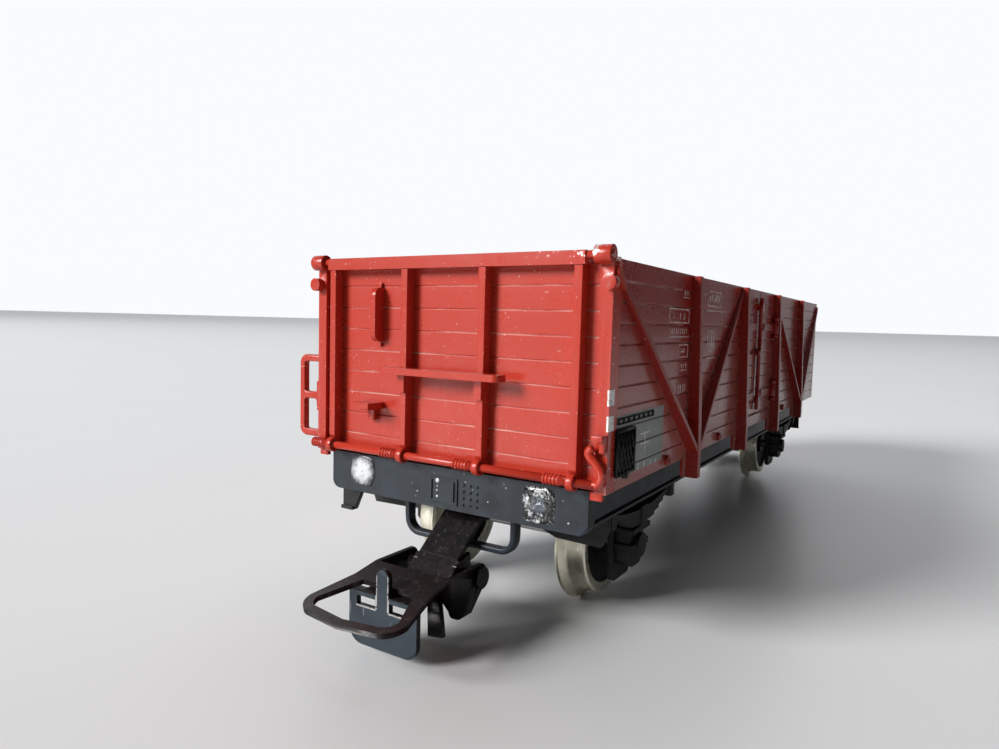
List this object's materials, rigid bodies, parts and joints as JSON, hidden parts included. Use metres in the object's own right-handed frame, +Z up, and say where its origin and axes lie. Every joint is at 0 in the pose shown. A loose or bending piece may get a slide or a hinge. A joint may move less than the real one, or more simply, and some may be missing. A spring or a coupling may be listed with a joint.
{
  "type": "model railway open goods wagon",
  "caption": "High-sided open goods wagon model with a hinged end flap, side doors, turning wheelsets and swinging loop couplers.",
  "frame": {"origin": "middle of the wagon, on the plane that the wheel flanges stand on", "axes": "+Z up, +Y along the wagon from the flap end to the fixed end, +X to the right seen from the flap end"},
  "size_m": [0.036, 0.1262, 0.0336],
  "materials": {
    "red_paint": "satin",
    "grey_paint": "satin",
    "black_paint": "semi-gloss",
    "black_plastic": "matte",
    "wheel_metal": "turned",
    "screw_steel": "satin"
  },
  "bodies": {
    "wagon": {"underframe": "grey_paint", "solebar_right": "grey_paint", "solebar_left": "grey_paint", "buffer_beam_near": "grey_paint", "buffer_beam_far": "grey_paint", "drawgear_plates": "grey_paint", "buffer_stumps_near": "screw_steel", "buffers_far": "black_paint", "axle_guards_near": "black_plastic", "axle_guards_far": "black_plastic", "axle_boxes_near": "black_plastic", "axle_boxes_far": "black_plastic", "leaf_springs_near": "black_plastic", "leaf_springs_far": "black_plastic", "coupler_stirrups": "grey_paint", "coupler_pivot_screws": "screw_steel", "body_screws": "screw_steel", "shunter_steps": "black_paint", "load_floor": "red_paint", "side_wall_right_near": "red_paint", "side_wall_right_far": "red_paint", "side_wall_left_near": "red_paint", "side_wall_left_far": "red_paint", "corner_posts": "red_paint", "side_posts": "red_paint", "side_braces": "red_paint", "door_sills": "red_paint", "door_pintles": "red_paint", "end_wall_far": "red_paint", "end_frame_far": "red_paint", "lever_catch": "red_paint", "grab_handles": "red_paint", "label_boards": "black_paint", "tie_bosses": "red_paint"},
    "wheelset_near": {"axle_near": "screw_steel", "wheel_tyres_near": "wheel_metal", "wheel_discs_near": "black_plastic"},
    "wheelset_far": {"axle_far": "screw_steel", "wheel_tyres_far": "wheel_metal", "wheel_discs_far": "black_plastic"},
    "coupler_arm_near": {"coupler_near": "black_paint", "loop_rivet_near": "screw_steel"},
    "coupler_arm_far": {"coupler_far": "black_paint", "loop_rivet_far": "screw_steel"},
    "loop_near": {"coupler_loop_near": "black_paint"},
    "loop_far": {"coupler_loop_far": "black_paint"},
    "end_flap": {"flap_planks": "red_paint", "flap_stanchions": "red_paint", "flap_rail": "red_paint", "flap_step_board": "red_paint", "flap_foot_step": "red_paint", "flap_grip": "red_paint", "lock_bearings": "red_paint"},
    "flap_lock": {"lock_shaft": "red_paint"},
    "leaf_right_near": {"door_right_near": "red_paint", "door_latch_right": "red_paint"},
    "leaf_right_far": {"door_right_far": "red_paint"},
    "leaf_left_near": {"door_left_near": "red_paint", "door_latch_left": "red_paint"},
    "leaf_left_far": {"door_left_far": "red_paint"}
  },
  "joints": [
    {"name": "wheels_near_spin", "type": "hinge", "parent": "wagon", "child": "wheelset_near", "pos_m": [0, -0.0356, 0.00635], "axis": [1, 0, 0], "continuous": true},
    {"name": "wheels_far_spin", "type": "hinge", "parent": "wagon", "child": "wheelset_far", "pos_m": [0, 0.0356, 0.00635], "axis": [1, 0, 0], "continuous": true},
    {"name": "coupler_near_swing", "type": "hinge", "parent": "wagon", "child": "coupler_arm_near", "pos_m": [0, -0.0401, 0.0094], "axis": [0, 0, 1], "range_deg": [-15, 15]},
    {"name": "coupler_far_swing", "type": "hinge", "parent": "wagon", "child": "coupler_arm_far", "pos_m": [0, 0.0401, 0.0094], "axis": [0, 0, 1], "range_deg": [-15, 15]},
    {"name": "loop_near_lift", "type": "hinge", "parent": "coupler_arm_near", "child": "loop_near", "pos_m": [0, -0.0499, 0.0053], "axis": [-1, 0, 0], "range_deg": [0, 30]},
    {"name": "loop_far_lift", "type": "hinge", "parent": "coupler_arm_far", "child": "loop_far", "pos_m": [0, 0.0499, 0.0053], "axis": [1, 0, 0], "range_deg": [0, 30]},
    {"name": "end_flap_swing", "type": "hinge", "parent": "wagon", "child": "end_flap", "pos_m": [0, -0.0504, 0.0329], "axis": [-1, 0, 0], "range_deg": [0, 75]},
    {"name": "flap_lock_turn", "type": "hinge", "parent": "end_flap", "child": "flap_lock", "pos_m": [0, -0.05072, 0.01518], "axis": [1, 0, 0], "range_deg": [0, 100]},
    {"name": "door_right_near_swing", "type": "hinge", "parent": "wagon", "child": "leaf_right_near", "pos_m": [0.0162, -0.00892, 0.023], "axis": [0, 0, -1], "range_deg": [0, 100]},
    {"name": "door_right_far_swing", "type": "hinge", "parent": "wagon", "child": "leaf_right_far", "pos_m": [0.0162, 0.00892, 0.023], "axis": [0, 0, 1], "range_deg": [0, 100]},
    {"name": "door_left_near_swing", "type": "hinge", "parent": "wagon", "child": "leaf_left_near", "pos_m": [-0.0162, -0.00892, 0.023], "axis": [0, 0, 1], "range_deg": [0, 100]},
    {"name": "door_left_far_swing", "type": "hinge", "parent": "wagon", "child": "leaf_left_far", "pos_m": [-0.0162, 0.00892, 0.023], "axis": [0, 0, -1], "range_deg": [0, 100]}
  ]
}
